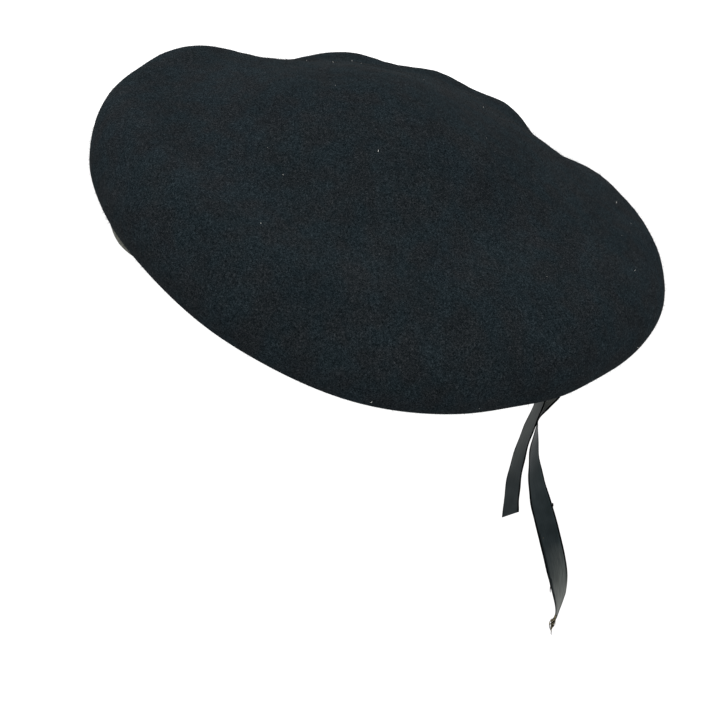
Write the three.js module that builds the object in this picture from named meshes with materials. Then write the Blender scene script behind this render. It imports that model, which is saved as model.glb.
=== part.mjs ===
// A felt beret as it sits on a head, with a leather binding and two ribbon ties. Millimetres.
// Frame: the origin is the centre of the head opening, +Z is up, -Y is the front and
// +X is the wearer's left, the side that the crown is pulled down on.
import * as THREE from 'three';
import { mergeVertices } from 'three/addons/utils/BufferGeometryUtils.js';

// The head opening, measured at the middle of the felt along the lower edge.
const openingLength = 204;
const openingBreadth = 160;
const wearTilt = 10; // degrees that the opening leans back, so that its front is higher
const pieceGap = 0.4; // kept between pieces that touch

// The felt wall, and the collar of it that stands against the head.
const feltThickness = 2;
const collarHeight = 16;
const collarFlare = 3; // how much wider the opening is at the top of the collar
const frontFlare = 7; // and what the front adds to that
const frontRise = 2; // how much higher the edge stands over the brow than a level ring
const crownShift = { x: 14, y: 12 }; // the middle of the crown from the middle of the opening

// The binding, folded round the cut edge of the felt.
const leatherThickness = 1.1;
const bindingHeight = 12;
const bindingOpen = 13.5; // between its two ends, at the centre of the back
const feltEdge = leatherThickness + pieceGap; // height of the cut edge

// The ribbon of the ties, and their ends: over its last length an end narrows to a share of the width,
// and it is cut across with a slant.
const ribbonWidth = 11;
const ribbonThickness = 0.5;
const ribbonBevel = 0.15;
const longTieEnd = { length: 16, share: 0.25, slant: 0 };
const shortTieEnd = { length: 16, share: 1, slant: 7.2 };

const segments = 72; // columns round the crown, and steps round the binding

// Sections of the crown, each a profile from the collar to the top. The angle runs from the front
// through the wearer's left. rimOut is the reach of the widest place from the middle of the crown, rimUp
// its height; bellyIn and bellyDown place the lowest bulge of the overhang from the rim; browIn and browUp
// place the upper edge, where the side turns into the top.
const sections = [
  { angle: 0, rimOut: 132, rimUp: 41, bellyIn: 9.5, bellyDown: 19, browIn: 7, browUp: 30 },
  { angle: 30, rimOut: 123, rimUp: 23, bellyIn: 8.5, bellyDown: 14, browIn: 10, browUp: 27 },
  { angle: 60, rimOut: 116, rimUp: 4, bellyIn: 9, bellyDown: 15, browIn: 12, browUp: 24 },
  { angle: 90, rimOut: 110, rimUp: -7, bellyIn: 9, bellyDown: 17, browIn: 11, browUp: 22 },
  { angle: 120, rimOut: 115, rimUp: -4, bellyIn: 9, bellyDown: 17, browIn: 11, browUp: 22 },
  { angle: 150, rimOut: 125, rimUp: 8, bellyIn: 9, bellyDown: 15, browIn: 11, browUp: 21 },
  { angle: 180, rimOut: 133, rimUp: 24, bellyIn: 10, bellyDown: 13, browIn: 11, browUp: 22 },
  { angle: 210, rimOut: 134, rimUp: 33, bellyIn: 12, bellyDown: 13, browIn: 13, browUp: 31 },
  { angle: 240, rimOut: 119, rimUp: 41, bellyIn: 12, bellyDown: 15, browIn: 22, browUp: 43 },
  { angle: 270, rimOut: 111, rimUp: 46, bellyIn: 8, bellyDown: 18, browIn: 34, browUp: 51 },
  { angle: 300, rimOut: 119, rimUp: 49, bellyIn: 8, bellyDown: 20, browIn: 29, browUp: 47 },
  { angle: 330, rimOut: 130, rimUp: 49, bellyIn: 9, bellyDown: 22, browIn: 15, browUp: 41 },
];

// Soft folds along the upper edge: a lift at an angle, spread over a width in degrees.
const folds = [
  { angle: 331, width: 13, lift: 2 },
  { angle: 312, width: 10, lift: -6 },
  { angle: 292, width: 11, lift: 4 },
  { angle: 254, width: 12, lift: 7 },
  { angle: 234, width: 9, lift: 8 },
  { angle: 222, width: 9, lift: -8 },
];

// The shoulder, where the felt leaves the collar: its share of the way to the belly, and the rise over
// that line for each millimetre that the belly hangs below the collar by more than a slack.
const shoulderShare = 0.3;
const shoulderRise = 0.4;
const shoulderSlack = 6;

// The top: a leaning plane through the upper edge, domed in the middle, pressed up by the head inside,
// which is an ellipsoid with these half sizes. Rings stand at shares of the way from middle to edge.
const topPlane = { height: 66, slopeLeft: -0.46, slopeBack: -0.05 };
const topDome = 14;
const headVault = { x: 83, y: 100, height: 92, blend: 18 };
const topRings = [0.5, 0.35, 0.18];

// The routes of the ties from the binding down, in the upright frame. turn is the direction that the
// ribbon's width points in, in degrees from the back towards the wearer's left.
const longTieRoute = [
  { x: 0, y: 106.2, z: -9.6, turn: 90 },
  { x: 0, y: 103.5, z: -17.2, turn: 90 },
  { x: 0, y: 103.3, z: -26, turn: 88 },
  { x: 0, y: 103.8, z: -35, turn: 78 },
  { x: 0, y: 103.6, z: -45, turn: 64 },
  { x: 0, y: 101.5, z: -54.5, turn: 53 },
  { x: 0.5, y: 96.3, z: -61, turn: 64 },
  { x: 1, y: 93.8, z: -66, turn: 87 },
  { x: 1, y: 93.6, z: -71, turn: 102 },
  { x: 0.5, y: 93.1, z: -77, turn: 113 },
  { x: 0, y: 92.8, z: -83, turn: 119 },
  { x: -0.5, y: 93.2, z: -91, turn: 126 },
  { x: -1, y: 94.5, z: -100, turn: 139 },
  { x: -1, y: 96.7, z: -110, turn: 158 },
  { x: -1, y: 100, z: -121.5, turn: 176 },
  { x: -0.5, y: 102.8, z: -132, turn: 183 },
  { x: 0, y: 105.5, z: -143, turn: 194 },
  { x: 0.5, y: 107, z: -152, turn: 217 },
  { x: 1, y: 107.4, z: -160, turn: 240 },
  { x: 1.5, y: 107.3, z: -166, turn: 257 },
  { x: 1.8, y: 106.8, z: -171.5, turn: 268 },
  { x: 2, y: 104.8, z: -178.5, turn: 280 },
];
const shortTieRoute = [
  { x: 0.3, y: 105.3, z: -9.4, turn: 90 },
  { x: 0.6, y: 102.4, z: -17.6, turn: 90 },
  { x: 2.5, y: 100.8, z: -27, turn: 87 },
  { x: 5, y: 98.7, z: -37, turn: 84 },
  { x: 7.5, y: 96.4, z: -47, turn: 80 },
  { x: 9, y: 93.6, z: -57, turn: 79 },
  { x: 9, y: 90.7, z: -65, turn: 77 },
  { x: 9, y: 87.1, z: -75, turn: 74 },
  { x: 8.8, y: 84.2, z: -86.5, turn: 67 },
  { x: 8.4, y: 82.8, z: -94.5, turn: 62 },
  { x: 8, y: 82, z: -102, turn: 58 },
  { x: 7.5, y: 81.4, z: -115, turn: 54 },
];

const radians = THREE.MathUtils.degToRad;

// A smooth closed curve through one column of a table, at an angle in degrees.
function around(rows, column, angle) {
  const step = 360 / rows.length;
  const place = (((angle % 360) + 360) % 360) / step;
  const first = Math.floor(place);
  const t = place - first;
  const value = (i) => rows[(first + i + rows.length) % rows.length][column];
  const [a, b, c, d] = [value(-1), value(0), value(1), value(2)];
  return b + 0.5 * t * (c - a + t * (2 * a - 5 * b + 4 * c - d + t * (3 * (b - c) + d - a)));
}

function foldLift(angle) {
  let lift = 0;
  for (const fold of folds) {
    const away = ((angle - fold.angle + 540) % 360) - 180;
    lift += fold.lift * Math.exp(-((away / fold.width) ** 2));
  }
  return lift;
}

// A point of the collar at a height, offset outwards from the middle of the felt.
function collarPoint(angle, height, offset) {
  const turn = radians(angle);
  const slope = (collarFlare + frontFlare * Math.cos(turn / 2) ** 4) / collarHeight;
  const reach = slope * height + offset * Math.hypot(1, slope);
  const across = openingBreadth / 2 + reach;
  const along = openingLength / 2 + reach;
  const rise = frontRise * Math.cos(turn / 2) ** 8;
  return new THREE.Vector3(across * Math.sin(turn), -along * Math.cos(turn), height + rise);
}

function ringPoint(angle, reach, height) {
  const turn = radians(angle);
  return new THREE.Vector3(
    crownShift.x + reach * Math.sin(turn), crownShift.y - reach * Math.cos(turn), height);
}

function browPoint(angle) {
  const reach = around(sections, 'rimOut', angle) - around(sections, 'browIn', angle);
  const height = around(sections, 'rimUp', angle) + around(sections, 'browUp', angle);
  return ringPoint(angle, reach, height + foldLift(angle));
}

function smoothMax(a, b, blend) {
  return (a + b + Math.sqrt((a - b) ** 2 + blend ** 2)) / 2;
}

// The outer face of the top, at a share of the way from the middle (0) to the upper edge (1).
function topPoint(angle, share) {
  const brow = browPoint(angle);
  const middle = new THREE.Vector3(crownShift.x, crownShift.y, brow.z);
  const p = middle.lerp(brow, share);
  const plane = (q) => topPlane.height + topPlane.slopeLeft * q.x + topPlane.slopeBack * q.y;
  const lift = foldLift(angle);
  const edge = (brow.z - lift - plane(brow)) * share ** 3 + lift * share ** 4;
  const tent = plane(p) + edge + topDome * (1 - share ** 2);
  const inside = 1 - (p.x / headVault.x) ** 2 - (p.y / headVault.y) ** 2;
  const vault = headVault.height * Math.sqrt(Math.max(inside, 0));
  const pressed = smoothMax(tent, vault, headVault.blend);
  p.z = THREE.MathUtils.lerp(pressed, tent, THREE.MathUtils.smoothstep(share, 0.6, 1));
  return p;
}

// One profile of the outer face, from the cut edge in the binding to near the middle of the top.
function profile(angle) {
  const rimOut = around(sections, 'rimOut', angle);
  const rimUp = around(sections, 'rimUp', angle);
  const bellyOut = rimOut - around(sections, 'bellyIn', angle);
  const belly = ringPoint(angle, bellyOut, rimUp - around(sections, 'bellyDown', angle));
  const heights = [feltEdge, bindingHeight, collarHeight];
  const collar = heights.map((height) => collarPoint(angle, height, feltThickness / 2));
  const shoulder = collar[2].clone().lerp(belly, shoulderShare);
  shoulder.z += shoulderRise * smoothMax(collarHeight - belly.z - shoulderSlack, 0, shoulderSlack);
  const stations = [
    { point: collar[1], steps: 1 },
    { point: collar[2], steps: 2 },
    { point: shoulder, steps: 3 },
    { point: belly, steps: 4 },
    { point: ringPoint(angle, rimOut, rimUp), steps: 4 },
    { point: browPoint(angle), steps: 3 },
    { point: topPoint(angle, 0.8), steps: 1 },
    { point: topPoint(angle, 0.65), steps: 1 },
    { point: topPoint(angle, topRings[0]), steps: 0 },
    { point: topPoint(angle, topRings[1]), steps: 0 },
  ];
  const curve = new THREE.CatmullRomCurve3(stations.map((s) => s.point), false, 'centripetal');
  const points = [collar[0]];
  stations.forEach((station, i) => {
    for (let k = 0; k < station.steps; k += 1) {
      points.push(curve.getPoint((i + k / station.steps) / (stations.length - 1)));
    }
  });
  for (const share of topRings) points.push(topPoint(angle, share));
  return points;
}

function meshOf(points, triangles) {
  const geometry = new THREE.BufferGeometry();
  geometry.setAttribute('position', new THREE.Float32BufferAttribute(points.flatMap((p) => [...p]), 3));
  geometry.setIndex(triangles);
  return mergeVertices(geometry);
}

// Triangles of the strips between rows of points, each row of the same length and closed on itself.
// From the column turnFrom on, the squares are cut along their other diagonal.
function strips(rows, length, turnFrom = length) {
  const triangles = [];
  for (let i = 0; i + 1 < rows; i += 1) {
    for (let j = 0; j < length; j += 1) {
      const [a, b] = [i * length + j, i * length + ((j + 1) % length)];
      if (j < turnFrom) triangles.push(a, b, b + length, a, b + length, a + length);
      else triangles.push(a, b, a + length, b, b + length, a + length);
    }
  }
  return triangles;
}

// A solid lofted through closed sections, all with the same number of points, with flat ends. The
// squares of both faces are cut along the same diagonal, so a twisted strip keeps its thickness.
function loft(rows, outline) {
  const length = rows[0].length;
  const triangles = strips(rows.length, length, length / 2);
  const last = (rows.length - 1) * length;
  const flat = outline.map(([x, y]) => new THREE.Vector2(x, y));
  for (const [a, b, c] of THREE.ShapeUtils.triangulateShape(flat, [])) {
    triangles.push(a, c, b, last + a, last + b, last + c);
  }
  return meshOf(rows.flat(), triangles);
}

function pointNormals(points, triangles) {
  const normals = points.map(() => new THREE.Vector3());
  for (let t = 0; t < triangles.length; t += 3) {
    const [a, b, c] = [0, 1, 2].map((k) => points[triangles[t + k]]);
    const face = b.clone().sub(a).cross(c.clone().sub(a));
    for (let k = 0; k < 3; k += 1) normals[triangles[t + k]].add(face);
  }
  return normals.map((n) => n.normalize());
}

function crownGeometry() {
  const rings = [];
  for (let j = 0; j < segments; j += 1) {
    profile((360 * j) / segments).forEach((point, i) => {
      rings[i] ??= [];
      rings[i].push(point);
    });
  }
  const outer = [...rings.flat(), topPoint(0, 0)];
  const skin = strips(rings.length, segments);
  const rim = (rings.length - 1) * segments;
  for (let j = 0; j < segments; j += 1) {
    skin.push(rim + j, rim + ((j + 1) % segments), outer.length - 1);
  }
  const normals = pointNormals(outer, skin);
  const inner = outer.map((p, i) => p.clone().addScaledVector(normals[i], -feltThickness));
  const triangles = [...skin];
  for (let t = 0; t < skin.length; t += 3) {
    triangles.push(skin[t] + outer.length, skin[t + 2] + outer.length, skin[t + 1] + outer.length);
  }
  for (let j = 0; j < segments; j += 1) {
    const k = (j + 1) % segments;
    triangles.push(j, j + outer.length, k, k, j + outer.length, k + outer.length);
  }
  return meshOf([...outer, ...inner], triangles);
}

// The binding: a U section, carried round the collar from one side of the back to the other.
function headbandGeometry() {
  const inside = feltThickness / 2 + pieceGap;
  const outside = inside + leatherThickness;
  const fold = leatherThickness;
  const section = [
    [-outside, bindingHeight], [-outside, fold], [-inside, 0], [inside, 0], [outside, fold],
    [outside, bindingHeight], [inside, bindingHeight], [inside, fold],
    [-inside, fold], [-inside, bindingHeight],
  ];
  const openAngle = THREE.MathUtils.radToDeg(bindingOpen / openingBreadth);
  const angles = [180 - openAngle];
  for (let j = 2; j <= segments - 2; j += 1) angles.push(180 - (360 * j) / segments);
  angles.push(openAngle - 180);
  const rowAt = (angle) => section.map(([offset, height]) => collarPoint(angle, height, offset));
  return loft(angles.map(rowAt), section);
}

function ribbonSection(share) {
  const [wide, thick] = [(share * ribbonWidth) / 2, ribbonThickness / 2];
  const [inWide, inThick] = [wide - ribbonBevel, thick - ribbonBevel];
  return [
    [inWide, -thick], [wide, -inThick], [wide, inThick], [inWide, thick],
    [-inWide, thick], [-wide, inThick], [-wide, -inThick], [-inWide, -thick],
  ];
}

// A ribbon along a route, in the upright frame.
function ribbonGeometry(route, end) {
  const points = route.map((place) => new THREE.Vector3(place.x, place.y, place.z));
  const curve = new THREE.CatmullRomCurve3(points, false, 'centripetal');
  const steps = 2 * (route.length - 1);
  const length = curve.getLength();
  const rows = [];
  for (let i = 0; i <= steps; i += 1) {
    const t = i / steps;
    const centre = curve.getPoint(t);
    const along = curve.getTangent(t);
    const place = t * (route.length - 1);
    const first = Math.min(Math.floor(place), route.length - 2);
    const turn = radians(THREE.MathUtils.lerp(route[first].turn, route[first + 1].turn, place - first));
    const wide = new THREE.Vector3(Math.sin(turn), Math.cos(turn), 0);
    wide.addScaledVector(along, -wide.dot(along)).normalize();
    const flat = along.clone().cross(wide);
    const left = length * (1 - t);
    const share = THREE.MathUtils.lerp(end.share, 1, Math.min(left / end.length, 1));
    if (i === steps) wide.addScaledVector(along, -end.slant / ribbonWidth);
    rows.push(ribbonSection(share).map(([w, f]) => (
      centre.clone().addScaledVector(wide, w).addScaledVector(flat, f)
    )));
  }
  return loft(rows, ribbonSection(1));
}

const felt = new THREE.MeshStandardMaterial({ color: 0x1f2528, roughness: 0.95, metalness: 0 });
const leather = new THREE.MeshStandardMaterial({ color: 0x4a4d45, roughness: 0.5, metalness: 0 });
const satin = new THREE.MeshStandardMaterial({ color: 0x24282a, roughness: 0.4, metalness: 0 });

function addPiece(group, name, geometry, material) {
  const mesh = new THREE.Mesh(geometry, material);
  mesh.name = name;
  group.add(mesh);
}

const beret = new THREE.Group();
const worn = new THREE.Group();
worn.rotation.x = -radians(wearTilt);
beret.add(worn);
addPiece(worn, 'crown', crownGeometry(), felt);
addPiece(worn, 'headband', headbandGeometry(), leather);
addPiece(beret, 'tie_long', ribbonGeometry(longTieRoute, longTieEnd), satin);
addPiece(beret, 'tie_short', ribbonGeometry(shortTieRoute, shortTieEnd), satin);

export default beret;
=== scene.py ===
# A black felt beret as it sits on a head, with a leather binding and two ribbon ties. Metres.
import math

import bmesh
import bpy
import numpy as np
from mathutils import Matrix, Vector
from mathutils.bvhtree import BVHTree


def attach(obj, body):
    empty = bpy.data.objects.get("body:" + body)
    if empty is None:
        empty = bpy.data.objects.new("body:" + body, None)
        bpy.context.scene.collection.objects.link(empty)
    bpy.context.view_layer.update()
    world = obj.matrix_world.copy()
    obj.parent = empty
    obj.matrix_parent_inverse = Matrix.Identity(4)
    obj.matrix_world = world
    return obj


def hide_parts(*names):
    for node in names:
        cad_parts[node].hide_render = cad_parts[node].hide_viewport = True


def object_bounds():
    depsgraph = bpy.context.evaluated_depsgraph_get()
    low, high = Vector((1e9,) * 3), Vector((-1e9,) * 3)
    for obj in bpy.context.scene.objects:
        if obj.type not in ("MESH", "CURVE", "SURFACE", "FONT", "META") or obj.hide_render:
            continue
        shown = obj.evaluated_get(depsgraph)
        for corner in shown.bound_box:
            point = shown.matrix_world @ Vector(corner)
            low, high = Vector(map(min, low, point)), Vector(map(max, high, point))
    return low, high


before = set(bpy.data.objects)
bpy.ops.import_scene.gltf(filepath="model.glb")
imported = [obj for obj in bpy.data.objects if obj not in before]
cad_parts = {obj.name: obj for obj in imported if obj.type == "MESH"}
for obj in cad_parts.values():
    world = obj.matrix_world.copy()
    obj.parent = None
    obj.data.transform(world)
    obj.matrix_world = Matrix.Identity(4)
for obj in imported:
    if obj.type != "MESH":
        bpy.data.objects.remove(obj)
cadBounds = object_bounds()
print("frame loaded:", ", ".join(sorted(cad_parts)))


def linkObject(name, data):
    obj = bpy.data.objects.new(name, data)
    bpy.context.scene.collection.objects.link(obj)
    return obj


# The camera looks at the wearer's left side from a little above.
view = {
    "azimuth": 90,  # looks along -X, at the wearer's left
    "elevation": 15,
    "distance": 0.6,
    "aim": (0.0097, 0.0081, -0.0363),  # the middle of the view
    "frameWidth": 0.3384,  # how much the view takes in at that distance
}


def addCamera():
    azimuth, elevation = math.radians(view["azimuth"]), math.radians(view["elevation"])
    flat = math.cos(elevation)
    back = Vector((math.sin(azimuth) * flat, -math.cos(azimuth) * flat, math.sin(elevation)))
    data = bpy.data.cameras.new("camera")
    data.sensor_width = 36
    data.lens = data.sensor_width * view["distance"] / view["frameWidth"]
    data.clip_start, data.clip_end = 0.01, 50
    camera = linkObject("camera", data)
    camera.location = Vector(view["aim"]) + back * view["distance"]
    camera.rotation_mode = "QUATERNION"
    camera.rotation_quaternion = (-back).to_track_quat("-Z", "Y")
    bpy.context.scene.camera = camera


addCamera()
print("camera placed")


def smoothAll(mesh):
    mesh.polygons.foreach_set("use_smooth", [True] * len(mesh.polygons))


def meshFrom(name, points, faces):
    mesh = bpy.data.meshes.new(name)
    mesh.from_pydata([tuple(p) for p in points], [], faces)
    smoothAll(mesh)
    mesh.update()
    return mesh


# A mesh of edges along runs of points.
def lineMesh(name, lines):
    points, edges = [], []
    for line in lines:
        edges += [(len(points) + i, len(points) + i + 1) for i in range(len(line) - 1)]
        points += [tuple(p) for p in line]
    mesh = bpy.data.meshes.new(name)
    mesh.from_pydata(points, edges, [])
    return mesh


# The faces round a tube, of so many rings with so many points in each.
def tubeSides(rings, ring):
    faces = []
    for i in range(rings - 1):
        for j in range(ring):
            a, b = i * ring + j, i * ring + (j + 1) % ring
            faces.append((a, b, b + ring, a + ring))
    return faces


def closedTube(rings, ring):
    last = (rings - 1) * ring
    return tubeSides(rings, ring) + [tuple(range(ring))[::-1], tuple(range(last, last + ring))]


def editable(mesh):
    made = bmesh.new()
    made.from_mesh(mesh)
    return made


# Puts an edited mesh back, or into a new one.
def writeBack(edited, mesh):
    edited.to_mesh(mesh)
    edited.free()
    return mesh


def triangleCount(mesh):
    return sum(len(polygon.vertices) - 2 for polygon in mesh.polygons)


def finishPiece(obj):
    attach(obj, "root")


def unit(v):
    return v / np.linalg.norm(v, axis=-1, keepdims=True)


# How far each point is along the line through them all.
def distances(points):
    return np.concatenate([[0], np.cumsum(np.linalg.norm(np.diff(points, axis=0), axis=1))])


def setInputs(node, inputs):
    for key, value in dict(inputs).items():
        node.inputs[key].default_value = value


def startMaterial(name, roughness, specular):
    material = bpy.data.materials.new(name)
    material.use_nodes = True
    shader = material.node_tree.nodes["Principled BSDF"]
    setInputs(shader, {"Roughness": roughness, "Specular IOR Level": specular})
    return material, material.node_tree, shader


def addNode(tree, kind, inputs=(), **settings):
    node = tree.nodes.new(kind)
    for key, value in settings.items():
        setattr(node, key, value)
    setInputs(node, inputs)
    return node


def join(start, output, end, entry):
    start.id_data.links.new(start.outputs[output], end.inputs[entry])


# A texture that lies on the object's own coordinates: noise, unless another kind is named.
def objectTexture(tree, inputs, kind="ShaderNodeTexNoise", **settings):
    texture = addNode(tree, kind, inputs, **settings)
    join(addNode(tree, "ShaderNodeTexCoord"), "Object", texture, "Vector")
    return texture


# An output times a share, plus whatever is joined to input 2.
def scaled(source, output, share):
    made = addNode(source.id_data, "ShaderNodeMath", {1: share, 2: 0.0}, operation="MULTIPLY_ADD")
    join(source, output, made, 0)
    return made


# Two outputs multiplied by each other.
def product(first, firstOutput, second, secondOutput, **settings):
    made = addNode(first.id_data, "ShaderNodeMath", operation="MULTIPLY", **settings)
    join(first, firstOutput, made, 0)
    join(second, secondOutput, made, 1)
    return made


def addBump(shader, source, output, strength, distance):
    bump = addNode(shader.id_data, "ShaderNodeBump", {"Strength": strength, "Distance": distance})
    join(source, output, bump, "Height")
    join(bump, "Normal", shader, "Normal")


def colourRamp(source, output, stops):
    ramp = addNode(source.id_data, "ShaderNodeValToRGB")
    elements = ramp.color_ramp.elements
    while len(elements) < len(stops):
        elements.new(0.5)
    for element, (place, colour) in zip(elements, stops):
        element.position = place
        element.color = (*colour, 1)
    join(source, output, ramp, "Fac")
    return ramp


# Makes the base colour fine spots of several colours.
def addSpeckle(shader, scale, detail, places, colours):
    spots = objectTexture(shader.id_data, {"Scale": scale, "Detail": detail})
    join(colourRamp(spots, "Fac", list(zip(places, colours))), "Color", shader, "Base Color")


# A geometry tree with a mesh and a material going in, and the sizes that the sockets name.
def geometryTree(name, sockets):
    tree = bpy.data.node_groups.new(name, "GeometryNodeTree")
    tree.interface.new_socket("Geometry", in_out="INPUT", socket_type="NodeSocketGeometry")
    for title, kind in [*sockets, ("Material", "Material")]:
        tree.interface.new_socket(title, in_out="INPUT", socket_type="NodeSocket" + kind)
    tree.interface.new_socket("Geometry", in_out="OUTPUT", socket_type="NodeSocketGeometry")
    start = tree.nodes.new("NodeGroupInput")
    end = tree.nodes.new("NodeGroupOutput")
    return tree, start, end


# Ends a tree: what comes out of a node is made real and given the material.
def endTree(start, end, source, output):
    realize = addNode(end.id_data, "GeometryNodeRealizeInstances")
    paint = addNode(end.id_data, "GeometryNodeSetMaterial")
    join(source, output, realize, "Geometry")
    join(realize, "Geometry", paint, "Geometry")
    join(start, "Material", paint, "Material")
    join(paint, "Geometry", end, "Geometry")


# The plain mesh that a modifier makes of an object. The modifier is taken off again.
def appliedMesh(obj, modifier):
    obj.update_tag()
    bpy.context.view_layer.update()
    evaluated = obj.evaluated_get(bpy.context.evaluated_depsgraph_get())
    mesh = bpy.data.meshes.new_from_object(evaluated)
    obj.modifiers.remove(modifier)
    return mesh


# The plain mesh that comes out of a geometry tree when another mesh goes in.
def runTree(name, mesh, tree, values):
    carrier = linkObject("carrier", mesh)
    modifier = carrier.modifiers.new(tree.name, "NODES")
    modifier.node_group = tree
    for item in tree.interface.items_tree:
        if item.in_out == "INPUT" and item.name in values:
            modifier[item.identifier] = values[item.name]
    made = appliedMesh(carrier, modifier)
    bpy.data.objects.remove(carrier)
    made.name = name
    smoothAll(made)
    return made


thread = {
    "sides": 5,
    "taper": [(0, 0.8), (0.15, 1), (0.75, 0.85), (1, 0.25)],  # place along it, share of the radius
}


# Any set of lines made into round threads, thinner towards their ends.
def threadTree():
    tree, start, end = geometryTree("threads", [("Radius", "Float"), ("Sides", "Int")])
    curve = addNode(tree, "GeometryNodeMeshToCurve")
    along = addNode(tree, "GeometryNodeSplineParameter")
    taper = addNode(tree, "ShaderNodeFloatCurve")
    profile = taper.mapping.curves[0].points
    profile[0].location, *between, profile[1].location = thread["taper"]
    for place, share in between:
        profile.new(place, share)
    taper.mapping.update()
    size = product(taper, "Value", start, "Radius")
    circle = addNode(tree, "GeometryNodeCurvePrimitiveCircle", {"Radius": 1.0})
    tube = addNode(tree, "GeometryNodeCurveToMesh", {"Fill Caps": True})
    join(start, "Geometry", curve, "Mesh")
    join(along, "Factor", taper, "Value")
    join(start, "Sides", circle, "Resolution")
    join(curve, "Curve", tube, "Curve")
    join(circle, "Curve", tube, "Profile Curve")
    join(size, "Value", tube, "Scale")
    endTree(start, end, tube, "Mesh")
    return tree


threads = threadTree()


def threadMesh(name, lines, radius, material):
    values = {"Radius": radius, "Sides": thread["sides"], "Material": material}
    return runTree(name, lineMesh(name, lines), threads, values)


ribbon = {
    "width": 0.011,
    "thickness": 0.00032,
    "selvedge": 0.0008,  # width of the firm edge on either side
    "selvedgeThickness": 0.00046,
    "rounding": [(0, 0.3), (0.2, 0.85), (0.5, 1), (1, 0.9)],  # shares of those two, from the edge in
    "rowsPerPoint": 9,
    "columns": 16,  # across, between the two selvedges
    "cup": 0.00025,  # how far the middle stands off the edges at most
    "cupRate": 160,  # of its rise and fall along the ribbon, in radians each metre
    "twist": 0.00016,  # how far one edge lifts and the other sinks
    "twistRate": 420,
    "slantReach": 0.012,  # how far up from its end a slanting cut pulls the rows askew
    "weave": 0.00042,  # pitch of the slanting weave lines
    "slope": 63,  # of those lines, in degrees
    "streaks": (2600, 120, 1),  # how fine they are across and along
    # The stripe is a painted sheen along one edge.
    "paintedSheenStripe": (-0.45, -0.34),  # a paler stripe on one side fades out between these shares of the width
    "body": (0.0058, 0.0084, 0.0092),
    "shine": (0.0125, 0.0165, 0.0178),
    "gloss": (0.80, 1.0, 1.06),  # colour of the shine itself
    # Colour of the painted highlight laid over the satin.
    "worn": (0.108, 0.114, 0.106),
    "firm": ((0.0006, 0.0008, 0.0008), (0.0022, 0.0026, 0.0027)),
    "fray": ((0.012, 0.010, 0.005), (0.120, 0.102, 0.058), (0.260, 0.225, 0.150)),
    "seed": 11,
}
waveBand = 0.314  # how far apart the bands of a wave texture are at a scale of 1

# Places along each tie from the binding down: x, y, z and the direction that the width points in, in
# degrees from the back towards the wearer's left.
longTieRoute = [
    (0, 0.1062, -0.0096, 90), (0, 0.1035, -0.0172, 90), (0, 0.1033, -0.026, 88),
    (0, 0.1038, -0.035, 78), (0, 0.1036, -0.045, 64), (0, 0.1015, -0.0545, 53),
    (0.0005, 0.0963, -0.061, 64), (0.001, 0.0938, -0.066, 87), (0.001, 0.0936, -0.071, 102),
    (0.0005, 0.0931, -0.077, 113), (0, 0.0928, -0.083, 119), (-0.0005, 0.0932, -0.091, 126),
    (-0.001, 0.0945, -0.100, 139), (-0.001, 0.0967, -0.110, 158), (-0.001, 0.1000, -0.1215, 176),
    (-0.0005, 0.1028, -0.132, 183), (0, 0.1055, -0.143, 194), (0.0005, 0.1070, -0.152, 217),
    (0.001, 0.1074, -0.160, 240), (0.0015, 0.1073, -0.166, 257), (0.0018, 0.1068, -0.1715, 268),
    (0.002, 0.1048, -0.1785, 280),
]
shortTieRoute = [
    (0.0003, 0.1053, -0.0094, 90), (0.0006, 0.1024, -0.0176, 90), (0.0025, 0.1008, -0.027, 87),
    (0.005, 0.0987, -0.037, 84), (0.0075, 0.0964, -0.047, 80), (0.009, 0.0936, -0.057, 79),
    (0.009, 0.0907, -0.065, 77), (0.009, 0.0871, -0.075, 74), (0.0088, 0.0842, -0.0865, 67),
    (0.0084, 0.0828, -0.0945, 62), (0.008, 0.0820, -0.102, 58), (0.0075, 0.0814, -0.115, 54),
]

# Over its last stretch an end narrows to a share of the width. It is cut with a slant, and the frayed
# length is left to loose threads. Each row of painted light says how far down the tie it is, how much a
# painted highlight lightens the satin there, and how much more so on the side that the width points away
# from. The rim is where a margin of painted shade starts, from 0 in the middle of the width to 1 at its
# edge.
longTie = {
    "narrowing": 0.021,
    "endShare": 0.1,
    "slant": 0,
    "frayed": 0.0062,
    "wearAndPaintedLight": [
        # Painted light: lightened high up in the crown's shade, and a painted highlight where the end
        # twists edge-on.
        (0.028, 0, 0), (0.040, 1.25, 0), (0.050, 1.2, 0), (0.058, 0.2, 0), (0.066, 0, 0),
        (0.128, 0, 1), (0.136, 0.2, 0.82), (0.1445, 0.36, 0.75), (0.1515, 0.64, 0.65), (0.158, 0.95, 0.5),
    ],
    # Painted shade: a dark margin on one edge towards the end.
    "rim": [(0.120, 0.8), (0.144, 0.74), (0.156, 0.6), (0.162, 0.45), (0.167, 0.1)],
}
shortTie = {
    "narrowing": 0.016,
    "endShare": 1,
    "slant": 0.0072,
    "frayed": 0,
    "wearAndPaintedLight": [
        # Painted light: a painted highlight over the upper part, stronger on one side.
        (0.028, 0, 0), (0.040, 0.28, 0.3), (0.058, 0.38, 0.3), (0.064, 0.38, 0.4),
        (0.0745, 0.22, 0.6), (0.0845, 0.1, 1), (0.0925, 0, 1),
    ],
    # Painted shade: a dark margin along one edge.
    "rim": [(0, 0.8)],
}


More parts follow.
